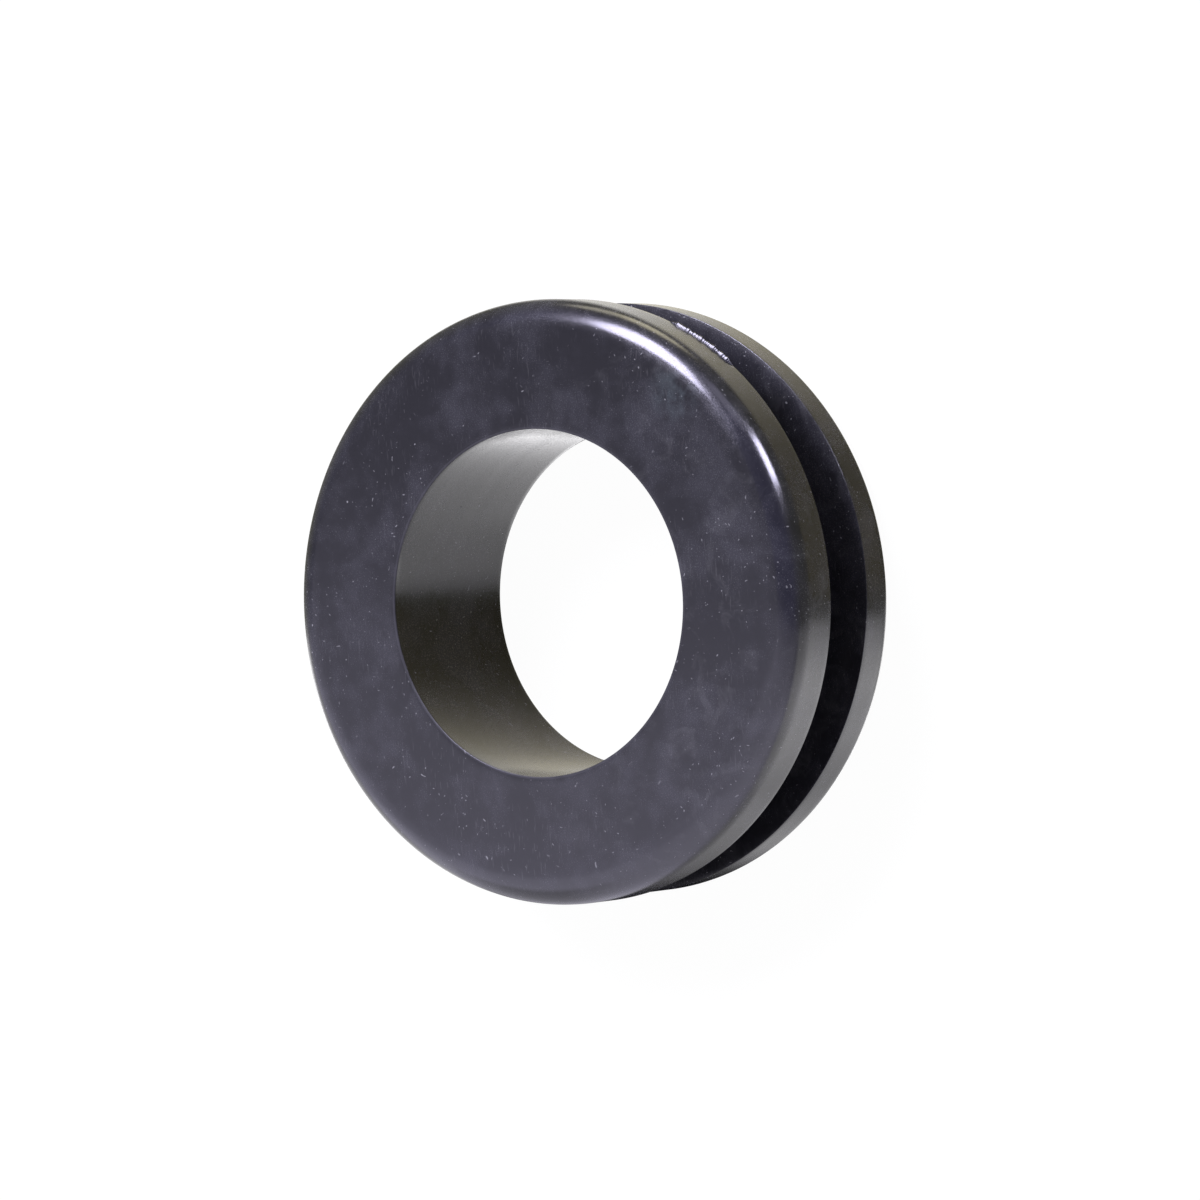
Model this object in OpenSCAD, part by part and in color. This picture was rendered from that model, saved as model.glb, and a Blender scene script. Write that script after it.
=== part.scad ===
// Rubber grommet: one moulded ring that snaps into a round hole in a panel and lines it,
// so that a cable or pipe can pass through without chafing.
// The bore's axis is Z. The grommet stands on its thin rear flange, with the bold round
// of the front flange on top, and the panel's edge sits in the groove between the two.

/* [Bore] */
// Diameter of the bore that the cable or pipe passes through
bore_d = 25.4; // [20:0.1:29]
// Radius of the fine round on both edges of the bore
bore_edge_round = 0.1; // [0.05:0.05:0.5]

/* [Front flange] */
// Diameter of the front flange
front_flange_d = 44.45; // [41:0.05:52]
// Thickness of the front flange, from its face to the groove
front_flange_t = 5; // [4:0.1:8]
// Radius of the bold round between the front face and the rim
front_edge_round = 2.3; // [1:0.1:3]

/* [Rear flange] */
// Diameter of the rear flange, a little smaller so that it pushes through the panel
rear_flange_d = 43.9; // [41:0.1:52]
// Thickness of the rear flange, from its face to the groove
rear_flange_t = 3.5; // [2.5:0.1:6]
// Radius of the round between the rear face and the rim
rear_edge_round = 1; // [0.5:0.1:1.5]

/* [Panel groove] */
// Diameter of the neck at the bottom of the groove, which is the hole in the panel
neck_d = 34.9; // [32:0.1:38]
// Width of the groove, which takes the thickness of the panel
groove_w = 5.3; // [2:0.1:9]
// Radius of the fillets where the neck meets the flanges
groove_root_round = 0.5; // [0.2:0.1:0.9]
// Radius of the fine round on the lips of the groove
groove_lip_round = 0.1; // [0.05:0.05:0.5]

/* [Hidden] */
$fn = 180;

// Heights of the two groove walls and of the front face
groove_bottom_z = rear_flange_t;
groove_top_z = groove_bottom_z + groove_w;
front_face_z = groove_top_z + front_flange_t;

// How far a cutting shape runs past what it cuts
overcut = 1;

// What a round of this radius takes off a square corner at the origin.
// The corner points along side, such as [1, -1] for outwards and downwards.
module corner_waste(radius, side) {
    mirror([side[0] < 0 ? 1 : 0, 0])
        mirror([0, side[1] < 0 ? 1 : 0])
            translate([-radius, -radius])
                difference() {
                    square(2 * radius);
                    circle(radius);
                }
}

// Half of a flange's section, from the bore out to its rim, before its corners are rounded
module flange_section(flange_d, low_z, thickness) {
    translate([bore_d / 2, low_z])
        square([(flange_d - bore_d) / 2, thickness]);
}

// The front flange with its bold round, the lip of the groove and the edge of the bore
module front_flange_section() {
    difference() {
        flange_section(front_flange_d, groove_top_z, front_flange_t);
        translate([front_flange_d / 2, front_face_z])
            corner_waste(front_edge_round, [1, 1]);
        translate([front_flange_d / 2, groove_top_z])
            corner_waste(groove_lip_round, [1, -1]);
        translate([bore_d / 2, front_face_z])
            corner_waste(bore_edge_round, [-1, 1]);
    }
}

// The rear flange, thinner and with a smaller round
module rear_flange_section() {
    difference() {
        flange_section(rear_flange_d, 0, rear_flange_t);
        translate([rear_flange_d / 2, 0])
            corner_waste(rear_edge_round, [1, -1]);
        translate([rear_flange_d / 2, groove_bottom_z])
            corner_waste(groove_lip_round, [1, 1]);
        translate([bore_d / 2, 0])
            corner_waste(bore_edge_round, [-1, -1]);
    }
}

// The bottom of the groove's hollow, with its two corners rounded
module groove_bottom_section() {
    difference() {
        square([groove_root_round + overcut, groove_w]);
        corner_waste(groove_root_round, [-1, -1]);
        translate([0, groove_w])
            corner_waste(groove_root_round, [-1, 1]);
    }
}

// The neck that joins the flanges, spread into them by the fillets at the bottom of the groove
module neck_section() {
    neck_wall = (neck_d - bore_d) / 2;
    difference() {
        translate([bore_d / 2, groove_bottom_z])
            square([neck_wall + groove_root_round, groove_w]);
        translate([neck_d / 2, groove_bottom_z])
            groove_bottom_section();
    }
}

// The grommet: its section turned once round the bore's axis
module grommet() {
    color("#2f3036")
        rotate_extrude()
            union() {
                front_flange_section();
                neck_section();
                rear_flange_section();
            }
}

grommet();
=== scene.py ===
"""The looks of the rubber grommet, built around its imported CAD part.

Every size is in metres and in the part's own frame: the bore's axis is Z, the thin rear
flange lies on the floor at Z = 0, and the front flange with its bold round is on top.
"""

from math import atan2, degrees, pi, radians, tau

import bmesh
import bpy
from bpy.props import FloatProperty, FloatVectorProperty, IntProperty, PointerProperty
from mathutils import Matrix, Vector, noise


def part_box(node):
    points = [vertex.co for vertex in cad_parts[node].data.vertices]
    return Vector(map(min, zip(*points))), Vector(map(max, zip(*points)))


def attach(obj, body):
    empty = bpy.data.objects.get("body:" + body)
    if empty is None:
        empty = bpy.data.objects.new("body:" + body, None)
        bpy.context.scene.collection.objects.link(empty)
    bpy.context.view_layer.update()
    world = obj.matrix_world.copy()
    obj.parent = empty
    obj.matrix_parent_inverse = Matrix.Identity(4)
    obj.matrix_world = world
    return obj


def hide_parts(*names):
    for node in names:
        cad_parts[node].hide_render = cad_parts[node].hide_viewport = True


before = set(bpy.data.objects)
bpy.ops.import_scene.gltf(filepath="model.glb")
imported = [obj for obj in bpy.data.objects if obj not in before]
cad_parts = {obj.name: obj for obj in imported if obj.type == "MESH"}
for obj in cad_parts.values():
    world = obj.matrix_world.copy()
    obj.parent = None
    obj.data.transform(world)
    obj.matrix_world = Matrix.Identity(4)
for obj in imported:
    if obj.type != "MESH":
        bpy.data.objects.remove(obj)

bl_info = {
    "name": "Rubber grommet",
    "version": (1, 0, 0),
    "blender": (4, 5, 0),
    "location": "3D View > Sidebar > Grommet",
    "description": "Builds the moulded rubber grommet and the stage that it is shown on",
    "category": "Add Mesh",
}

CAD_LOW, CAD_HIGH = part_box("grommet")
MM = 0.001
RUBBER_IOR = 1.52

# How finely the mesh is cut: the radius that each segment of a round stands for, the fewest
# segments of a round, and the distance within which two points are one
ROUND_SEGMENT = 0.14 * MM
FEWEST_SEGMENTS = 4
SAME_POINT = 0.002 * MM

# The fall of the rear lip: the width of wall that it takes, the part of that which bends and
# the height on the rim where it has faded out. Then, in degrees, the middle of its run, and how
# far to each side of that it is full and gone
FALL_WIDTH = 0.9 * MM
FALL_BEND = 0.35 * MM
FALL_FOOT = 1.5 * MM
FALL_MIDDLE = -30
FALL_FULL = 40
FALL_GONE = 75

# The waves that moulding leaves: two lengths of soft wave, and the distance between shallow rings
LONG_WAVE = 9 * MM
SHORT_WAVE = 5 * MM
RING_SPACING = 1.6 * MM

# Where the flash begins and how far it runs round the lip, in degrees, and its number of steps
FLASH_START = 316.5
FLASH_RUN = 18.0
FLASH_STEPS = 260

# The options of the nodes that the patterns are made of. A smooth Map Range takes a value, where
# its change starts and ends, and what it gives at those, which is 0 and 1 where nothing is said
SMOOTH = {"interpolation_type": "SMOOTHSTEP"}
ADDED = {"operation": "ADD"}
LESS = {"operation": "SUBTRACT"}
TIMES = {"operation": "MULTIPLY"}
GREATEST = {"operation": "MAXIMUM"}
DISTANCE = {"operation": "DISTANCE"}
LENGTH = {"operation": "LENGTH"}
DOT_PRODUCT = {"operation": "DOT_PRODUCT"}
COLOURS = {"data_type": "RGBA"}


# Colours and nodes


def linear(hex_colour):
    """A colour as the screen shows it, such as #2c2b32, as the linear values that shaders take."""
    shown = [int(hex_colour[i:i + 2], 16) / 255 for i in (1, 3, 5)]
    return tuple(c / 12.92 if c <= 0.04045 else ((c + 0.055) / 1.055) ** 2.4 for c in shown)


def opaque(colour):
    """A shader's colour with nothing let through."""
    return (*colour[:3], 1.0)


def add_node(tree, kind, settings=None, inputs=()):
    """Adds a shader node with its options, and fills its sockets, by their names or in their order.

    A socket takes a value or another node's output, and a node stands for its first output."""
    node = tree.nodes.new("ShaderNode" + kind)
    for name, value in (settings or {}).items():
        setattr(node, name, value)
    if isinstance(inputs, dict):
        filled = [(node.inputs[name], value) for name, value in inputs.items()]
    else:
        filled = zip([socket for socket in node.inputs if socket.enabled], inputs)
    for socket, value in filled:
        if isinstance(value, bpy.types.Node):
            value = next(output for output in value.outputs if output.enabled)
        if isinstance(value, bpy.types.NodeSocket):
            tree.links.new(value, socket)
        else:
            socket.default_value = value
    return node


def taken_together(tree, settings, levels):
    """Three or more levels multiplied, or the greatest of them, taken one after another."""
    total = levels[0]
    for level in levels[1:]:
        total = add_node(tree, "Math", settings, (total, level))
    return total


def new_material(name):
    """A material without nodes, and its tree."""
    material = bpy.data.materials.new(name)
    material.use_nodes = True
    material.node_tree.nodes.clear()
    return material, material.node_tree


# Rubber


def warped(tree, place, size, reach):
    """The place pushed about by up to reach, in patches of a size, so that no pattern lies in rows."""
    push = add_node(tree, "TexNoise", {}, {"Vector": place, "Scale": 1 / size, "Detail": 1.0})
    return add_node(
        tree,
        "VectorMath",
        {"operation": "MULTIPLY_ADD"},
        (push.outputs["Color"], (reach, reach, reach), place),
    )


def specks(tree, place, spacing, radius, share):
    """Specks of about one radius, on a share of the places that lie about spacing apart."""
    cells = add_node(tree, "TexVoronoi", {}, {"Vector": place, "Scale": 1 / spacing})
    rim = radius / spacing
    spot = add_node(tree, "MapRange", SMOOTH, (cells.outputs["Distance"], rim, 0.4 * rim))
    pick = add_node(tree, "SeparateColor", {}, {"Color": cells.outputs["Color"]})
    chosen = add_node(tree, "Math", {"operation": "LESS_THAN"}, (pick.outputs["Red"], share))
    return add_node(tree, "Math", TIMES, (spot, chosen))


def scuffs(tree, place, width, length, turn):
    """Faint straight rubs, some of them in patches, that lie one way across the part."""
    laid = add_node(
        tree,
        "Mapping",
        {},
        {"Vector": place, "Rotation": (0.0, 0.0, radians(turn)), "Scale": (width / length, 1.0, 1.0)},
    )
    rub = add_node(tree, "TexNoise", {}, {"Vector": laid, "Scale": 1 / width, "Detail": 1.0})
    patch = add_node(tree, "TexNoise", {}, {"Vector": place, "Scale": 1 / (5 * MM), "Detail": 1.0})
    strong = add_node(tree, "MapRange", SMOOTH, (rub, 0.60, 0.72))
    gathered = add_node(tree, "MapRange", SMOOTH, (patch, 0.45, 0.62))
    return add_node(tree, "Math", TIMES, (strong, gathered))


def edge_wear(tree, place):
    """How far the bore's front edge is scuffed matt, and none elsewhere."""
    parts = add_node(tree, "SeparateXYZ", {}, (place,))
    flat = add_node(tree, "CombineXYZ", {}, {"X": parts.outputs["X"], "Y": parts.outputs["Y"]})
    radius = add_node(tree, "VectorMath", LENGTH, (flat,))
    section = add_node(tree, "CombineXYZ", {}, {"X": radius, "Z": parts.outputs["Z"]})
    edge = (12.8 * MM, 0.0, 13.78 * MM)
    away = add_node(tree, "VectorMath", DISTANCE, (section, edge))
    return add_node(tree, "MapRange", SMOOTH, (away, 0.07 * MM, 0.14 * MM, 0.5, 0.0))


def surface_bloom(tree, place, mottle):
    """Bloom that has come to the surface in clouds of about 7 mm, with the finer mottle in them."""
    clouds = add_node(
        tree,
        "TexNoise",
        {},
        {"Vector": place, "Scale": 1 / (7 * MM), "Detail": 3.0, "Roughness": 0.55, "Distortion": 0.6},
    )
    patches = add_node(tree, "Mix", {}, (0.35, clouds, mottle))
    return add_node(tree, "MapRange", SMOOTH, (patches, 0.40, 0.66))


def face_smudge(tree, place, mottle):
    """A faint smudge about 3 mm across, on the front face beside the bold round."""
    centre = (14.6 * MM, -13.1 * MM, 13.8 * MM)
    away = add_node(tree, "VectorMath", DISTANCE, (place, centre))
    near = add_node(tree, "MapRange", SMOOTH, (away, 0.4 * MM, 2.8 * MM, 0.7, 0.0))
    broken = add_node(tree, "MapRange", SMOOTH, (mottle, 0.36, 0.62))
    return add_node(tree, "Math", TIMES, (near, broken))


def handling_blotches(tree, place):
    """Faint blotches of 1 to 3 mm that handling has left on the smudge's side, towards minus Y."""
    clouds = add_node(
        tree,
        "TexNoise",
        {},
        {"Vector": place, "Scale": 1 / (2.6 * MM), "Detail": 4.0, "Roughness": 0.65, "Distortion": 0.8},
    )
    blotches = add_node(tree, "MapRange", SMOOTH, (clouds, 0.50, 0.68, 0.0, 0.06))
    across = add_node(tree, "SeparateXYZ", {}, (place,)).outputs["Y"]
    side = add_node(tree, "MapRange", SMOOTH, (across, 2 * MM, -12 * MM))
    return add_node(tree, "Math", TIMES, (blotches, side))


def settled_dust(tree, place, mottle):
    """Dust in specks of 0.14 to 0.24 mm across, more of it in some places than in others, and the
    faint rubs about 1 mm long that handling has left."""
    drift = add_node(tree, "TexNoise", {}, {"Vector": place, "Scale": 1 / (10 * MM), "Detail": 2.0})
    loose = warped(tree, place, 1.1 * MM, 1.4 * MM)
    fine = specks(tree, loose, 0.34 * MM, 0.07 * MM, 0.28)
    medium = specks(tree, loose, 1.0 * MM, 0.10 * MM, 0.5)
    coarse = specks(tree, loose, 2.6 * MM, 0.12 * MM, 0.5)
    rubs = scuffs(tree, place, 0.15 * MM, 1.0 * MM, -16.0)
    layers = (
        (fine, add_node(tree, "MapRange", SMOOTH, (drift, 0.40, 0.62, 0.12, 0.6))),
        (medium, add_node(tree, "MapRange", SMOOTH, (drift, 0.36, 0.56, 0.2, 0.6))),
        (coarse, add_node(tree, "MapRange", SMOOTH, (mottle, 0.40, 0.58, 0.5, 0.95))),
        (rubs, 0.07),
    )
    return taken_together(tree, GREATEST, [add_node(tree, "Math", TIMES, layer) for layer in layers])


def moulded_black_rubber(looks):
    """Compression moulded black rubber: satin, with faint bloom, mould grain and fine pale dust."""
    material, tree = new_material("moulded black rubber")
    place = add_node(tree, "TexCoord").outputs["Object"]

    # Bloom pales the carbon black, with a mottle of 1.5 mm, and smudge and dust lie over it
    mottle = add_node(
        tree, "TexNoise", {}, {"Vector": place, "Scale": 1 / (1.5 * MM), "Detail": 4.0, "Roughness": 0.6}
    )
    bloom = surface_bloom(tree, place, mottle)
    dust = settled_dust(tree, place, mottle)
    layers = (
        (bloom, looks.bloom_colour),
        (handling_blotches(tree, place), looks.dust_colour),
        (face_smudge(tree, place, mottle), looks.smudge_colour),
        (dust, looks.dust_colour),
    )
    colour = opaque(looks.rubber_colour)
    for amount, over in layers:
        colour = add_node(tree, "Mix", COLOURS, (amount, colour, opaque(over)))

    # Mould grain spreads the gloss unevenly. It is finer than the render can show, so it is drawn
    # at 0.1 mm. Bloom dulls the gloss a little, and dust and the worn edge take it away
    grain = add_node(
        tree, "TexNoise", {}, {"Vector": place, "Scale": 1 / (0.1 * MM), "Detail": 2.0, "Roughness": 0.6}
    )
    skin = add_node(tree, "MapRange", SMOOTH, (grain, 0.36, 0.66, 0.13, 0.27))
    bloomed = add_node(tree, "Math", ADDED, (skin, add_node(tree, "Math", TIMES, (bloom, 0.03))))
    dusted = add_node(tree, "Math", TIMES, (dust, 0.8))
    worn = add_node(tree, "Math", TIMES, (edge_wear(tree, place), 0.85))
    roughness = taken_together(tree, GREATEST, (bloomed, dusted, worn))
    relief = add_node(tree, "Bump", {}, {"Strength": 0.25, "Distance": 0.004 * MM, "Height": grain})
    rubber = add_node(
        tree,
        "BsdfPrincipled",
        {},
        {"Base Color": colour, "Roughness": roughness, "IOR": RUBBER_IOR, "Normal": relief},
    )
    add_node(tree, "OutputMaterial", {}, {"Surface": rubber})
    return material


def bare_black_rubber(looks):
    """The same rubber where the mould's halves meet, smooth and free of bloom and dust."""
    material, tree = new_material("bare black rubber")
    rubber = add_node(
        tree,
        "BsdfPrincipled",
        {},
        {"Base Color": opaque(looks.rubber_colour), "Roughness": 0.25, "IOR": RUBBER_IOR},
    )
    add_node(tree, "OutputMaterial", {}, {"Surface": rubber})
    return material


# Shapes


def outline_corners(sizes):
    """The corners of the ring's section as (radius, height, round), outwards from the bore's rear edge."""
    bore = sizes.bore_diameter / 2
    front = sizes.front_flange_diameter / 2
    rear = sizes.rear_flange_diameter / 2
    neck = sizes.neck_diameter / 2
    low = sizes.rear_flange_thickness
    high = low + sizes.groove_width
    top = high + sizes.front_flange_thickness
    return [
        (bore, 0.0, sizes.bore_edge_round),
        (rear, 0.0, sizes.rear_edge_round),
        (rear, low, sizes.lip_round),
        (neck, low, sizes.root_round),
        (neck, high, sizes.root_round),
        (front, high, sizes.lip_round),
        (front, top, sizes.front_edge_round),
        (bore, top, sizes.bore_edge_round),
    ]


def spun_ring(sizes):
    """The ring's section, rounded at its corners, turned once round the bore's axis."""
    corners = outline_corners(sizes)
    mesh = bmesh.new()
    outline = mesh.faces.new([mesh.verts.new((radius, 0.0, height)) for radius, height, _ in corners])
    outline.normal_update()
    for vert, (_, _, corner_round) in zip(list(outline.verts), corners):
        bmesh.ops.bevel(
            mesh,
            geom=[vert],
            offset=corner_round,
            offset_type="OFFSET",
            affect="VERTICES",
            segments=max(FEWEST_SEGMENTS, round(corner_round / ROUND_SEGMENT)),
            profile=0.5,
            material=-1,
        )
    bmesh.ops.delete(mesh, geom=list(mesh.faces), context="FACES_ONLY")

    # The straight walls get rows close enough to carry the moulding's slight waves
    for wall in list(mesh.edges):
        cuts = int(wall.calc_length() / sizes.row_spacing)
        if cuts > 0:
            bmesh.ops.subdivide_edges(mesh, edges=[wall], cuts=cuts)
    bmesh.ops.spin(
        mesh,
        geom=list(mesh.verts) + list(mesh.edges),
        cent=(0, 0, 0),
        axis=(0, 0, 1),
        dvec=(0, 0, 0),
        angle=tau,
        steps=sizes.turn_steps,
        use_merge=True,
        use_duplicate=False,
    )
    bmesh.ops.remove_doubles(mesh, verts=list(mesh.verts), dist=SAME_POINT)
    bmesh.ops.recalc_face_normals(mesh, faces=list(mesh.faces))
    mesh.normal_update()
    for vert in mesh.verts:
        vert.co -= vert.normal * dip_at(vert.co, sizes.wave_depth)
        vert.co.z -= lip_fall(vert.co, sizes)
    mesh.normal_update()
    return mesh


def lip_fall(place, sizes):
    """How far the groove's rear wall falls away towards its lip, eased out down the rim.

    It bends over the first part of its width and then runs straight to the lip. Most of it is on
    a third of the turn, round 330 degrees."""
    low = sizes.rear_flange_thickness
    above_wall = low + 0.1 * MM
    if place.z > above_wall:
        return 0.0
    run = max(0.0, place.xy.length - sizes.rear_flange_diameter / 2 + FALL_WIDTH)
    gone = run * run / (2 * FALL_BEND) if run < FALL_BEND else run - FALL_BEND / 2
    ease = min(1.0, max(0.0, (place.z - FALL_FOOT) / (low - FALL_FOOT)))
    aside = abs((degrees(atan2(place.y, place.x)) - FALL_MIDDLE + 180) % 360 - 180)
    near = min(1.0, max(0.0, (FALL_GONE - aside) / (FALL_GONE - FALL_FULL)))
    return sizes.lip_fall * gone / (FALL_WIDTH - FALL_BEND / 2) * ease * near * near * (3 - 2 * near)


def dip_at(place, depth):
    """How far the rubber has sunk below its true surface, in soft waves and in shallow rings round
    the bore's axis."""
    wide = 0.5 + 0.5 * noise.noise(place / LONG_WAVE)
    close = 0.5 + 0.5 * noise.noise(place / SHORT_WAVE + Vector((3, 1, 7)))
    rings = 0.5 + 0.5 * noise.noise(Vector((2, 6, place.z / RING_SPACING)))
    return depth * (0.65 * wide + 0.35 * close + 0.6 * rings)


def lip_flash(sizes):
    """The ragged sliver of rubber that the mould's joint has left on a short run of the front lip."""
    radius = sizes.front_flange_diameter / 2
    height = sizes.rear_flange_thickness + sizes.groove_width
    size = sizes.flash_size
    start = radians(FLASH_START)
    turn = radians(FLASH_RUN)
    mesh = bmesh.new()

    # A thin wedge, rooted in the flange behind the lip and raised towards its outer edge
    outline = [
        (radius - 0.9 * size, height + 0.02 * MM),
        (radius - 0.1 * size, height - 0.01 * MM),
        (radius + 0.85 * size, height + 0.06 * size),
        (radius + 1.0 * size, height + 0.17 * size),
        (radius + 0.66 * size, height + 0.44 * size),
        (radius + 0.05 * size, height + 0.80 * size),
        (radius - 0.9 * size, height + 1.0 * size),
    ]
    profile = mesh.faces.new([mesh.verts.new((out, 0.0, up)) for out, up in outline])
    bmesh.ops.rotate(mesh, matrix=Matrix.Rotation(start, 3, "Z"), verts=list(mesh.verts))
    bmesh.ops.spin(
        mesh,
        geom=[profile],
        cent=(0, 0, 0),
        axis=(0, 0, 1),
        dvec=(0, 0, 0),
        angle=turn,
        steps=FLASH_STEPS,
        use_merge=False,
        use_duplicate=False,
    )

    # It shrinks towards its root over the first and last eighth of its run, and is ragged between
    root = Vector((radius - 0.5 * size, height + 0.3 * size))
    for vert in mesh.verts:
        angle = atan2(vert.co.y, vert.co.x) % tau
        run = (angle - start) / turn
        taper = min(1.0, 8 * run, 8 * (1 - run))
        slow = noise.noise(Vector((degrees(angle) * 0.9, 0, 4)))
        quick = noise.noise(Vector((degrees(angle) * 3.0, 5, 0)))
        scale = max(0.15, taper * (0.85 + 0.30 * slow + 0.08 * quick))
        flat = Vector((vert.co.x, vert.co.y))
        out = root.x + (flat.length - root.x) * scale
        flat = flat.normalized() * out
        vert.co = (flat.x, flat.y, root.y + (vert.co.z - root.y) * scale)
    bmesh.ops.recalc_face_normals(mesh, faces=list(mesh.faces))
    return mesh


def finish_piece(mesh, name, material):
    """Turns a bmesh into a smooth piece that rides with the part."""
    data = bpy.data.meshes.new(name)
    mesh.to_mesh(data)
    mesh.free()
    data.shade_smooth()
    data.materials.append(material)
    piece = bpy.data.objects.new(name, data)
    bpy.context.scene.collection.objects.link(piece)
    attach(piece, "root")
    return piece


class GrommetSizes(bpy.types.PropertyGroup):
    """Sizes of the moulding."""

    bore_diameter: FloatProperty(
        name="Bore diameter",
        description="Diameter of the bore that the cable passes through",
        default=25.4 * MM,
        min=20 * MM,
        max=29 * MM,
        subtype="DISTANCE",
        unit="LENGTH",
    )
    front_flange_diameter: FloatProperty(
        name="Front flange diameter",
        description="Diameter of the thick flange with the bold round",
        default=CAD_HIGH.x - CAD_LOW.x,
        min=41 * MM,
        max=52 * MM,
        subtype="DISTANCE",
        unit="LENGTH",
    )
    front_flange_thickness: FloatProperty(
        name="Front flange thickness",
        description="Thickness of the front flange, from its face to the groove",
        default=5.0 * MM,
        min=4 * MM,
        max=8 * MM,
        subtype="DISTANCE",
        unit="LENGTH",
    )
    front_edge_round: FloatProperty(
        name="Front edge round",
        description="Radius of the bold round between the front face and the rim",
        default=2.3 * MM,
        min=1 * MM,
        max=3 * MM,
        subtype="DISTANCE",
        unit="LENGTH",
    )
    rear_flange_diameter: FloatProperty(
        name="Rear flange diameter",
        description="Diameter of the thinner flange that pushes through the panel",
        default=43.9 * MM,
        min=41 * MM,
        max=52 * MM,
        subtype="DISTANCE",
        unit="LENGTH",
    )
    rear_flange_thickness: FloatProperty(
        name="Rear flange thickness",
        description="Thickness of the rear flange, from its face to the groove",
        default=3.5 * MM,
        min=2.5 * MM,
        max=6 * MM,
        subtype="DISTANCE",
        unit="LENGTH",
    )
    rear_edge_round: FloatProperty(
        name="Rear edge round",
        description="Radius of the round between the rear face and the rim",
        default=1.0 * MM,
        min=0.5 * MM,
        max=1.5 * MM,
        subtype="DISTANCE",
        unit="LENGTH",
    )
    neck_diameter: FloatProperty(
        name="Neck diameter",
        description="Diameter at the bottom of the groove",
        default=34.9 * MM,
        min=32 * MM,
        max=38 * MM,
        subtype="DISTANCE",
        unit="LENGTH",
    )
    groove_width: FloatProperty(
        name="Groove width",
        description="Width of the groove that takes the panel's edge",
        default=5.3 * MM,
        min=2 * MM,
        max=9 * MM,
        subtype="DISTANCE",
        unit="LENGTH",
    )
    bore_edge_round: FloatProperty(
        name="Bore edge round",
        description="Radius of the fine round on both edges of the bore",
        default=0.1 * MM,
        min=0.05 * MM,
        max=0.5 * MM,
        subtype="DISTANCE",
        unit="LENGTH",
    )
    lip_round: FloatProperty(
        name="Groove lip round",
        description="Radius of the fine round on the lips of the groove",
        default=0.05 * MM,
        min=0.03 * MM,
        max=0.5 * MM,
        subtype="DISTANCE",
        unit="LENGTH",
    )
    root_round: FloatProperty(
        name="Groove root round",
        description="Radius of the fillets at the bottom of the groove",
        default=0.5 * MM,
        min=0.2 * MM,
        max=0.9 * MM,
        subtype="DISTANCE",
        unit="LENGTH",
    )
    lip_fall: FloatProperty(
        name="Rear lip fall",
        description="How far the groove's rear wall falls away towards its lip",
        default=0.16 * MM,
        min=0.0,
        max=0.3 * MM,
        subtype="DISTANCE",
        unit="LENGTH",
    )
    flash_size: FloatProperty(
        name="Flash size",
        description="How far the moulding flash stands out from the front lip",
        default=0.28 * MM,
        min=0.05 * MM,
        max=0.4 * MM,
        subtype="DISTANCE",
        unit="LENGTH",
    )
    wave_depth: FloatProperty(
        name="Wave depth",
        description="Depth of the slight waves that moulding leaves in the surface",
        default=0.02 * MM,
        min=0.0,
        max=0.05 * MM,
        subtype="DISTANCE",
        unit="LENGTH",
    )
    row_spacing: FloatProperty(
        name="Row spacing",
        description="Distance between the mesh rows on the straight walls",
        default=0.5 * MM,
        min=0.2 * MM,
        max=2 * MM,
        subtype="DISTANCE",
        unit="LENGTH",
    )
    turn_steps: IntProperty(
        name="Steps in a turn",
        description="Number of steps that the section takes round the bore's axis",
        default=480,
        min=64,
        max=720,
    )


class GrommetLooks(bpy.types.PropertyGroup):
    """Colours of the rubber and the stage."""

    rubber_colour: FloatVectorProperty(
        name="Rubber",
        description="Carbon black rubber as moulded",
        default=linear("#27262c"),
        subtype="COLOR",
        size=3,
        min=0,
        max=1,
    )
    bloom_colour: FloatVectorProperty(
        name="Bloom",
        description="Rubber under the faint bloom that comes to its surface",
        default=linear("#3b3a42"),
        subtype="COLOR",
        size=3,
        min=0,
        max=1,
    )
    smudge_colour: FloatVectorProperty(
        name="Smudge",
        description="Blue grey smudge on the front face",
        default=linear("#4c535a"),
        subtype="COLOR",
        size=3,
        min=0,
        max=1,
    )
    dust_colour: FloatVectorProperty(
        name="Dust",
        description="Fine pale dust that clings to the rubber",
        default=linear("#a9a7af"),
        subtype="COLOR",
        size=3,
        min=0,
        max=1,
    )
    floor_colour: FloatVectorProperty(
        name="Floor",
        description="Plain pale floor",
        default=linear("#f4f4f4"),
        subtype="COLOR",
        size=3,
        min=0,
        max=1,
    )


class OBJECT_OT_grommet_moulding(bpy.types.Operator):
    """Build the rubber moulding in the place of its plain solid"""

    bl_idname = "object.grommet_moulding"
    bl_label = "Grommet Moulding"

    def execute(self, context):
        looks = context.scene.grommet_looks
        mesh = spun_ring(context.scene.grommet_sizes)
        piece = finish_piece(mesh, "grommet_moulding", moulded_black_rubber(looks))
        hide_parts("grommet")
        return {"FINISHED"}


class OBJECT_OT_grommet_flash(bpy.types.Operator):
    """Add the sliver of moulding flash on the front lip"""

    bl_idname = "object.grommet_flash"
    bl_label = "Moulding Flash"

    def execute(self, context):
        mesh = lip_flash(context.scene.grommet_sizes)
        piece = finish_piece(mesh, "grommet_lip_flash", bare_black_rubber(context.scene.grommet_looks))
        return {"FINISHED"}


# Stage

# The photograph's camera. Its focal length is in the photograph's pixels
PHOTO_WIDTH_PX = 1200
FOCAL_LENGTH_PX = 6709.1
SENSOR_WIDTH_MM = 36.0
CAMERA_PLACE = (-0.00004, -0.27701, 0.41794)
CAMERA_RIGHT = (-0.0581, -0.8288, -0.5566)
CAMERA_UP = (0.9983, -0.0482, -0.0324)
CAMERA_BACK = (0.0, -0.5575, 0.8302)

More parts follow.
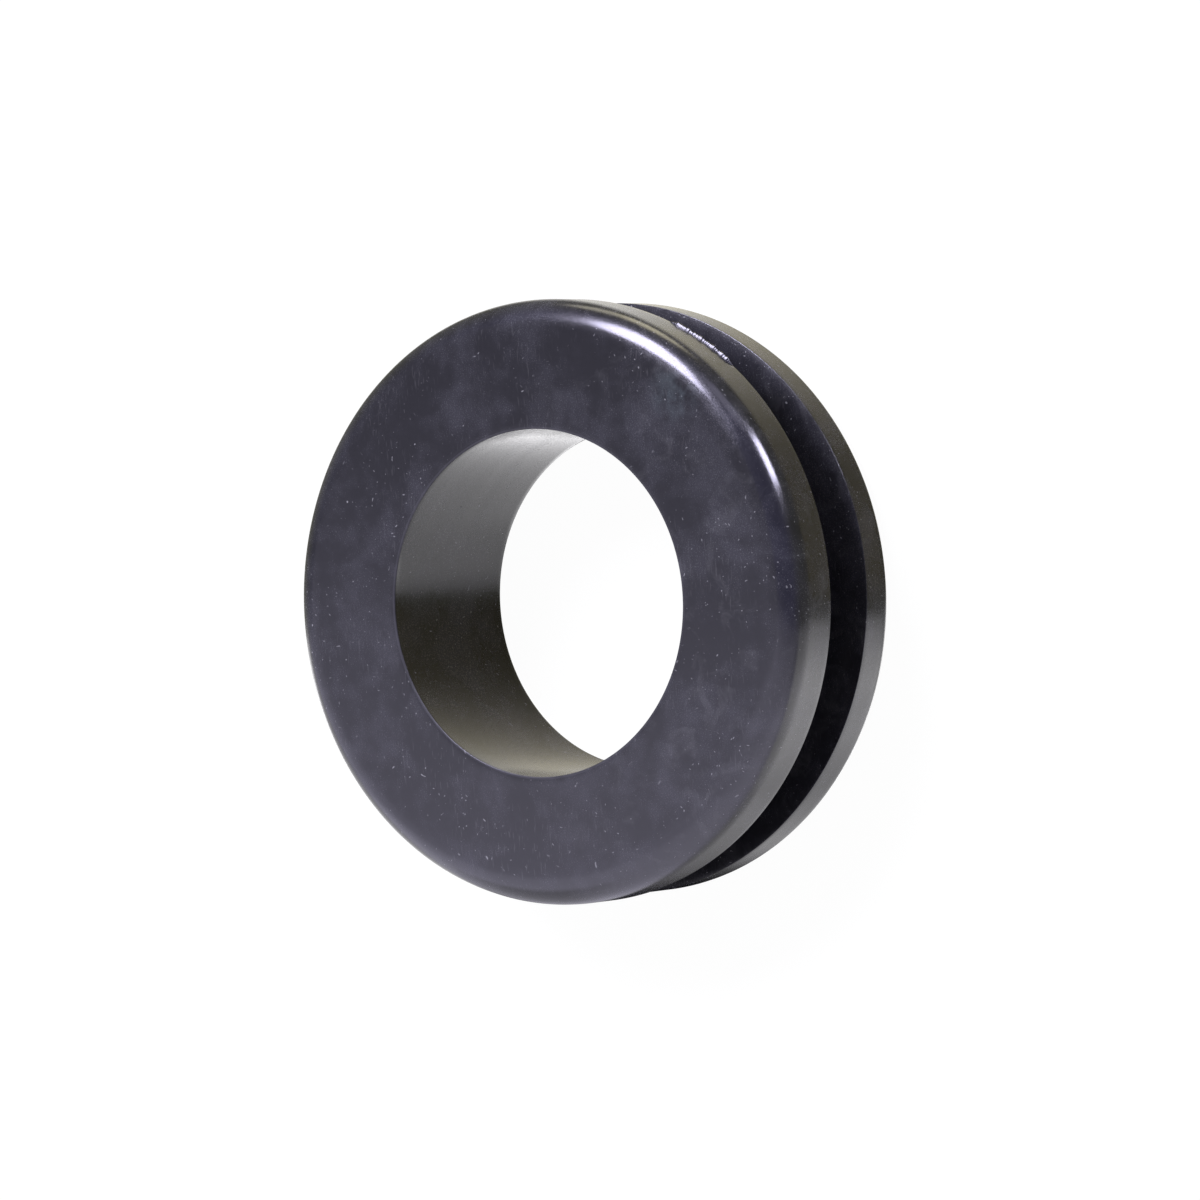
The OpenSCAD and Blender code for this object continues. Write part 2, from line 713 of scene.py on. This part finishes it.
# The point that lamps and cards face, how far from it they stand, and the watts that make a
# square metre of lamp look white
AIM = (0.0, 0.0, 7 * MM)
LAMP_DISTANCE = 1.0
CARD_DISTANCE = 1.05
WATTS_FOR_WHITE = 4

# Tints of light, in the linear values that shaders take
WHITE = (1.0, 1.0, 1.0)
PLAIN = (1.0, 0.99, 0.98)
COOL = (0.88, 0.88, 1.0)
LILAC = (0.78, 0.75, 1.0)
OLIVE = (1.0, 0.90, 0.50)
CREAM = (1.0, 0.93, 0.70)


def face_grommet(thing, direction, distance, roll=0.0):
    """Puts a lamp or card out in a direction, facing the grommet and rolled by some degrees."""
    way = Vector(direction).normalized()
    thing.location = way * distance + Vector(AIM)
    turn = way.to_track_quat("Z", "Y").to_matrix() @ Matrix.Rotation(radians(roll), 3, "Z")
    thing.rotation_euler = turn.to_euler()


def add_lamp(name, direction, width, height, radiance, colour, in_gloss, shape="RECTANGLE", roll=0.0):
    """A soft box whose face looks as bright as radiance, 1 being white.

    In gloss, it shows as a reflection and no more. Otherwise it lights and doesn't show."""
    area = width * height * (pi / 4 if shape == "ELLIPSE" else 1)
    light = bpy.data.lights.new(name, "AREA")
    light.shape = shape
    light.size = width
    light.size_y = height
    light.energy = radiance * WATTS_FOR_WHITE * area
    light.color = colour
    lamp = bpy.data.objects.new(name, light)
    face_grommet(lamp, direction, LAMP_DISTANCE, roll)
    lamp.visible_glossy = in_gloss
    lamp.visible_diffuse = not in_gloss
    bpy.context.scene.collection.objects.link(lamp)


def add_camera():
    """The camera at the photograph's place, looking down at the front face."""
    camera = bpy.data.cameras.new("camera")
    camera.sensor_width = SENSOR_WIDTH_MM
    camera.lens = FOCAL_LENGTH_PX / PHOTO_WIDTH_PX * SENSOR_WIDTH_MM
    camera.clip_start = 0.01
    camera.clip_end = 20.0
    holder = bpy.data.objects.new("camera", camera)
    turn = Matrix((CAMERA_RIGHT, CAMERA_UP, CAMERA_BACK)).transposed()
    holder.matrix_world = Matrix.Translation(CAMERA_PLACE) @ turn.to_4x4()
    bpy.context.scene.collection.objects.link(holder)
    bpy.context.scene.camera = holder


def rectangle(width, height):
    """A flat rectangle that faces up."""
    mesh = bmesh.new()
    bmesh.ops.create_grid(mesh, x_segments=1, y_segments=1, size=0.5)
    bmesh.ops.scale(mesh, vec=(width, height, 1), verts=list(mesh.verts))
    return mesh


def link_stage(name, mesh, material):
    """Turns a bmesh into a stage object that isn't part of the grommet."""
    data = bpy.data.meshes.new(name)
    mesh.to_mesh(data)
    mesh.free()
    data.materials.append(material)
    thing = bpy.data.objects.new(name, data)
    bpy.context.scene.collection.objects.link(thing)
    return thing


def link_card(name, mesh, material):
    """A stage card that shows only as a reflection, so that it neither lights nor hides anything."""
    card = link_stage(name, mesh, material)
    card.visible_camera = False
    card.visible_diffuse = False
    card.visible_shadow = False
    card.visible_transmission = False
    card.visible_volume_scatter = False
    return card


def finish_card_material(material, tint, level, cover=None):
    """Makes a card glow, clear where its cover is low, and keeps it from being sampled as a lamp."""
    tree = material.node_tree
    surface = add_node(tree, "Emission", {}, {"Color": tint, "Strength": level})
    if cover is not None:
        surface = add_node(tree, "MixShader", {}, (cover, add_node(tree, "BsdfTransparent"), surface))
    add_node(tree, "OutputMaterial", {}, {"Surface": surface})
    material.cycles.emission_sampling = "NONE"
    return material


def soft_card_material(name, width, height, radiance, colour, edge):
    """A lit card that fades out towards its edges, over a share of its size."""
    material, tree = new_material(name)
    place = add_node(tree, "TexCoord").outputs["Object"]
    spread = add_node(tree, "Mapping", {}, {"Vector": place, "Scale": (2 / width, 2 / height, 1)})
    middle = add_node(tree, "TexGradient", {"gradient_type": "SPHERICAL"}, (spread,)).outputs["Fac"]
    level = add_node(tree, "MapRange", SMOOTH, (middle, 0.0, edge, 0.0, radiance))
    cover = add_node(tree, "MapRange", SMOOTH, (middle, 0.0, edge))
    return finish_card_material(material, opaque(colour), level, cover)


def add_soft_card(name, direction, width, height, radiance, colour, edge=0.6, roll=0.0):
    """A soft edged card just behind the lamps, seen only in the gloss."""
    material = soft_card_material(name, width, height, radiance, colour, edge)
    card = link_card(name, rectangle(width, height), material)
    face_grommet(card, direction, CARD_DISTANCE, roll)


def painted_contact_shadow(tree, aside, along, front):
    """The painted contact shadow in the table's glow: how much light is left on the table near the rim's
    contact with it.

    It is painted dark under the flanges, and less so behind them and in front."""
    under = add_node(tree, "MapRange", SMOOTH, (aside, 0.0018, 0.0168))
    gap = add_node(tree, "MapRange", SMOOTH, (aside, 0.0035, 0.0105))
    below = add_node(tree, "MapRange", SMOOTH, (along, -0.004, 0.004, 1.0, 0.0))
    low = add_node(tree, "Math", TIMES, (below, gap))
    behind = add_node(tree, "MapRange", SMOOTH, (along, -0.022, -0.006, 1.0, 0.0))
    return taken_together(tree, GREATEST, (under, front, low, behind))


def table_front(tree, across, along):
    """Where the table lies in front of the flange's rim. It is lit sooner at the rim's two ends."""
    right_end = add_node(tree, "MapRange", SMOOTH, (across, -0.007, 0.001, 1.0, 0.58))
    left_end = add_node(tree, "MapRange", SMOOTH, (across, 0.004, 0.014, 0.58, 0.8))
    ends_lit = add_node(tree, "Math", GREATEST, (right_end, left_end))
    rising = add_node(tree, "MapRange", SMOOTH, (along, 0.0083, 0.0116))
    rise = add_node(tree, "Math", TIMES, (rising, ends_lit))
    clear = add_node(tree, "MapRange", SMOOTH, (along, 0.0125, 0.0150))
    return add_node(tree, "Math", GREATEST, (rise, clear))


def table_beside(tree, across, along, front):
    """How the table brightens to the right, where the rims mirror it, but not where the bore does."""
    lean = add_node(tree, "Math", TIMES, (across, 1.42))
    slant = add_node(tree, "Math", LESS, (along, lean))
    past_slant = add_node(tree, "MapRange", SMOOTH, (slant, -0.008, 0.008))
    not_front = add_node(tree, "MapRange", SMOOTH, (front, 0.0, 1.0, 1.0, 0.0))
    shown = add_node(tree, "Math", TIMES, (past_slant, not_front))
    near_right = add_node(tree, "MapRange", SMOOTH, (across, -0.028, -0.016, 0.85, 0.0))
    far_right = add_node(tree, "MapRange", SMOOTH, (across, -0.040, -0.030, 0.36, -0.09))
    right = add_node(tree, "Math", ADDED, (near_right, far_right))
    gain = add_node(tree, "Math", TIMES, (right, shown))
    return add_node(tree, "Math", ADDED, (gain, 1.05))


def table_ahead(tree, aside, along):
    """How the table pales in front of the ring, most of all close to the bold round."""
    reach = add_node(tree, "MapRange", SMOOTH, (aside, 0.030, 0.060, 1.0, 0.0))
    facing = add_node(tree, "MapRange", SMOOTH, (along, 0.007, 0.016))
    close = add_node(tree, "Math", TIMES, (facing, reach))
    further = add_node(tree, "MapRange", SMOOTH, (along, 0.010, 0.030))
    paler = add_node(tree, "Math", GREATEST, (close, further))
    return add_node(tree, "MapRange", SMOOTH, (paler, 0.0, 1.0, 1.0, 1.9))


def table_behind(tree, across, along):
    """How the table brightens again far behind the ring, away from its right side."""
    deep = add_node(tree, "MapRange", SMOOTH, (along, -0.090, -0.032, 1.8, 0.0))
    not_right = add_node(tree, "MapRange", SMOOTH, (across, -0.012, 0.0))
    gain = add_node(tree, "Math", TIMES, (deep, not_right))
    return add_node(tree, "Math", ADDED, (gain, 1.0))


def table_material():
    """A white table's sheen beside the grommet, with the ring's contact shadow painted dark into its glow
    where the ring would rest on it.
    """
    material, tree = new_material("white table")
    place = add_node(tree, "TexCoord").outputs["Object"]
    parts = add_node(tree, "SeparateXYZ", {}, (place,))
    across = parts.outputs["Y"]
    along = parts.outputs["Z"]
    aside = add_node(tree, "Math", {"operation": "ABSOLUTE"}, (across,))
    front = table_front(tree, across, along)
    right_end = add_node(tree, "MapRange", SMOOTH, (across, -0.085, -0.030, 0.6, 1.0))
    left_end = add_node(tree, "MapRange", SMOOTH, (across, 0.080, 0.400, 1.0, 0.55))
    levels = (
        # The ring's contact shadow, painted into the table's glow
        painted_contact_shadow(tree, aside, along, front),
        table_beside(tree, across, along, front),
        add_node(tree, "Math", TIMES, (right_end, left_end)),
        table_ahead(tree, aside, along),
        add_node(tree, "MapRange", SMOOTH, (along, 0.016, 0.030, 1.06, 0.78)),
        table_behind(tree, across, along),
    )
    level = taken_together(tree, TIMES, levels)
    near_tint = opaque((0.99, 0.98, 1.0))
    front_tint = opaque((0.93, 0.90, 1.12))
    tint = add_node(tree, "Mix", COLOURS, (front, near_tint, front_tint))
    return finish_card_material(material, tint, level)


def add_table():
    """The white table that the ring leans its rim on in the photograph's pose, seen only in the gloss."""
    mesh = rectangle(1.6, 0.904)
    bmesh.ops.rotate(mesh, matrix=Matrix.Rotation(radians(90), 3, "Y"), verts=list(mesh.verts))
    bmesh.ops.translate(mesh, vec=(-22.6 * MM, 0.344, 0), verts=list(mesh.verts))
    link_card("table_card", mesh, table_material())


def front_card_material():
    """A card that is bright on one side and dim on the other, so that the flat face isn't one even tone."""
    material, tree = new_material("front card")
    place = add_node(tree, "TexCoord").outputs["Object"]
    along = add_node(tree, "VectorMath", DOT_PRODUCT, (place, (-1.0, 0.08, 0.0)))
    level = add_node(tree, "MapRange", SMOOTH, (along, -0.022, 0.030, 0.30, 1.36))
    return finish_card_material(material, opaque((0.93, 0.90, 1.1)), level)


def add_front_card():
    """A card over the front face, seen only in its gloss."""
    card = link_card("front_card", rectangle(0.2, 0.2), front_card_material())
    card.location = (0.0, 0.064, 0.110)


def back_card_level(tree, out, along, across, upward):
    """How bright the back card is: brighter away from the bore and towards the upper left."""
    slope = add_node(tree, "MapRange", SMOOTH, (along, -0.035, 0.075, 0.31, 1.30))
    ring = add_node(tree, "MapRange", SMOOTH, (out, 0.060, 0.076, 0.37, 1.0))
    middle = add_node(tree, "MapRange", SMOOTH, (across, -0.020, 0.020, 0.96, 1.05))
    far_side = add_node(tree, "MapRange", SMOOTH, (across, 0.035, 0.060, 1.0, 0.84))
    side = add_node(tree, "Math", TIMES, (middle, far_side))
    left_part = add_node(tree, "MapRange", SMOOTH, (across, -0.050, -0.020, 1.0, 0.0))
    left_gain = add_node(tree, "MapRange", SMOOTH, (out, 0.060, 0.072, -0.15, 0.25))
    lift = add_node(tree, "Math", TIMES, (left_part, left_gain))
    lifted = add_node(tree, "Math", ADDED, (lift, 1.0))
    head = add_node(tree, "MapRange", SMOOTH, (upward, 0.055, 0.071, 1.0, 0.80))
    return taken_together(tree, TIMES, (slope, ring, side, head, lifted))


def back_card_tint(tree, out, along, across, upward):
    """The back card's tint: plain towards the top, at the rims' distance and on the left, and olive
    lower down."""
    outer = add_node(tree, "MapRange", SMOOTH, (out, 0.070, 0.080, 0.0, 0.75))
    left = add_node(tree, "MapRange", SMOOTH, (across, 0.005, 0.030, 1.0, 0.0))
    aside = add_node(tree, "Math", GREATEST, (outer, left))
    top = add_node(tree, "MapRange", SMOOTH, (upward, 0.015, 0.045))
    plain = add_node(tree, "Math", TIMES, (top, aside))
    creamy = add_node(tree, "MapRange", SMOOTH, (along, -0.030, 0.030))
    warm = add_node(tree, "Mix", COLOURS, (creamy, opaque(OLIVE), opaque(CREAM)))
    return add_node(tree, "Mix", COLOURS, (plain, warm, opaque(PLAIN)))


def back_card_cover(tree, out, across, upward):
    """Where the back card shows. It ends some way out, and past its lower left the table shows."""
    west = add_node(tree, "MapRange", SMOOTH, (across, -0.010, 0.0, 1.0, 0.0))
    south = add_node(tree, "MapRange", SMOOTH, (upward, -0.010, 0.010, 1.0, 0.0))
    corner = add_node(tree, "Math", TIMES, (west, south))
    within = add_node(tree, "MapRange", SMOOTH, (out, 0.115, 0.155, 1.0, 0.0))
    off_corner = add_node(tree, "Math", LESS, (1.0, corner))
    return add_node(tree, "Math", TIMES, (within, off_corner))


def back_card_material():
    """A warm card close behind the ring."""
    material, tree = new_material("warm back card")
    place = add_node(tree, "TexCoord").outputs["Object"]
    out = add_node(tree, "VectorMath", LENGTH, (place,))
    along = add_node(tree, "VectorMath", DOT_PRODUCT, (place, (0.5, 0.866, 0.0)))
    parts = add_node(tree, "SeparateXYZ", {}, (place,))
    across = parts.outputs["X"]
    upward = parts.outputs["Y"]
    return finish_card_material(
        material,
        back_card_tint(tree, out, along, across, upward),
        back_card_level(tree, out, along, across, upward),
        back_card_cover(tree, out, across, upward),
    )


def add_back_card():
    """The warm card that the rims and the bore mirror, seen only in the gloss."""
    card = link_card("back_card", rectangle(0.32, 0.32), back_card_material())
    card.location = (0.0, 0.0, -0.1)


def floor_material(looks):
    """White to the camera, with the object's soft shadow kept."""
    material, tree = new_material("plain pale floor")
    rays = add_node(tree, "LightPath")
    matt = add_node(tree, "BsdfDiffuse", {}, {"Color": opaque(looks.floor_colour)})
    glow = add_node(tree, "Emission", {}, {"Color": opaque(WHITE), "Strength": 0.97})
    shadowed = add_node(tree, "BsdfDiffuse", {}, {"Color": opaque((0.06, 0.06, 0.06))})
    both = add_node(tree, "AddShader", {}, (glow, shadowed))
    shown = add_node(tree, "MixShader", {}, (rays.outputs["Is Camera Ray"], matt, both))
    add_node(tree, "OutputMaterial", {}, {"Surface": shown})
    return material


def add_floor(looks):
    """A plain floor that runs far past the camera's view."""
    floor = link_stage("floor", rectangle(6.0, 6.0), floor_material(looks))
    floor.visible_glossy = False


def room_colour(tree, way):
    """The dim room as the gloss sees it: olive below, and above deep blue that greys to the left."""
    left = add_node(tree, "MapRange", SMOOTH, (way.outputs["Y"], 0.35, 0.80))
    deep_blue = opaque((0.17, 0.165, 0.35))
    grey_blue = opaque((0.185, 0.185, 0.235))
    above = add_node(tree, "Mix", COLOURS, (left, deep_blue, grey_blue))
    rise = add_node(tree, "MapRange", SMOOTH, (way.outputs["Z"], -0.1, 0.5))
    return add_node(tree, "Mix", COLOURS, (rise, opaque((0.19, 0.19, 0.12)), above))


def add_world():
    """White to the camera, a dim room to the gloss and plain soft light to the rest."""
    world = bpy.data.worlds.new("studio")
    world.use_nodes = True
    bpy.context.scene.world = world
    tree = world.node_tree
    tree.nodes.clear()
    rays = add_node(tree, "LightPath")
    way = add_node(tree, "SeparateXYZ", {}, (add_node(tree, "TexCoord").outputs["Generated"],))
    seen = add_node(tree, "Background", {}, {"Color": opaque(WHITE), "Strength": 1.0})
    strength = add_node(tree, "MapRange", SMOOTH, (way.outputs["Y"], -0.9, 0.3, 0.1, 0.55))
    soft = add_node(tree, "Background", {}, {"Color": opaque((0.95, 0.95, 1.0)), "Strength": strength})
    room = add_node(tree, "Background", {}, {"Color": room_colour(tree, way), "Strength": 1.0})
    inside = add_node(tree, "MixShader", {}, (rays.outputs["Is Glossy Ray"], soft, room))
    chosen = add_node(tree, "MixShader", {}, (rays.outputs["Is Camera Ray"], inside, seen))
    add_node(tree, "OutputWorld", {}, {"Surface": chosen})


class OBJECT_OT_grommet_stage(bpy.types.Operator):
    """Set up the floor, the studio light and the camera"""

    bl_idname = "object.grommet_stage"
    bl_label = "Stage"

    def execute(self, context):
        context.scene.view_settings.view_transform = "Standard"
        add_camera()
        add_floor(context.scene.grommet_looks)
        add_world()

        # The lamps: direction, width, height, radiance, colour, whether only the gloss sees it
        key = (0.786, 0.068, 0.615)
        add_lamp("key light", (0.584, 0.236, 0.777), 0.40, 0.40, 16.2, COOL, False)
        add_lamp("key reflection", key, 0.52, 0.70, 24.0, LILAC, True, "ELLIPSE", roll=-23.0)
        add_lamp("side reflection", (0.63, -0.775, 0.02), 0.25, 0.34, 32.0, LILAC, True)

        # The cards that only the gloss sees: direction, width, height, radiance, colour
        add_table()
        add_front_card()
        add_back_card()
        add_soft_card("key_halo", key, 1.30, 1.68, 2.6, LILAC, roll=-31.0)
        add_soft_card("lamp_frame", (0.835, -0.46, 0.27), 0.46, 0.64, 2.4, LILAC, edge=0.5)
        add_soft_card("warm_card_high", (0.93, 0.08, -0.36), 0.735, 0.483, 5.0, (1.0, 0.92, 0.66))
        add_soft_card("warm_card_side", (0.915, 0.29, -0.29), 0.42, 0.46, 3.2, (1.0, 0.94, 0.74))
        add_soft_card("warm_card_low", (0.50, 0.22, -0.83), 1.785, 1.155, 1.6, (1.0, 0.95, 0.82), edge=1.0)
        return {"FINISHED"}


class VIEW3D_PT_grommet(bpy.types.Panel):
    """The grommet's sizes, colours and pieces"""

    bl_label = "Rubber Grommet"
    bl_idname = "VIEW3D_PT_grommet"
    bl_space_type = "VIEW_3D"
    bl_region_type = "UI"
    bl_category = "Grommet"

    def draw(self, context):
        layout = self.layout
        for group in (context.scene.grommet_sizes, context.scene.grommet_looks):
            box = layout.box()
            for name in group.__annotations__:
                box.prop(group, name)
        layout.operator(OBJECT_OT_grommet_moulding.bl_idname)
        layout.operator(OBJECT_OT_grommet_flash.bl_idname)
        layout.operator(OBJECT_OT_grommet_stage.bl_idname)


CLASSES = (
    GrommetSizes,
    GrommetLooks,
    OBJECT_OT_grommet_moulding,
    OBJECT_OT_grommet_flash,
    OBJECT_OT_grommet_stage,
    VIEW3D_PT_grommet,
)


def register():
    for cls in CLASSES:
        bpy.utils.register_class(cls)
    bpy.types.Scene.grommet_sizes = PointerProperty(type=GrommetSizes)
    bpy.types.Scene.grommet_looks = PointerProperty(type=GrommetLooks)


def unregister():
    del bpy.types.Scene.grommet_looks
    del bpy.types.Scene.grommet_sizes
    for cls in reversed(CLASSES):
        bpy.utils.unregister_class(cls)


def main():
    """Builds the stage and the pieces."""
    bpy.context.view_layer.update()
    register()
    bpy.ops.object.grommet_stage()
    bpy.ops.object.grommet_moulding()
    bpy.ops.object.grommet_flash()


if __name__ == "__main__":
    main()
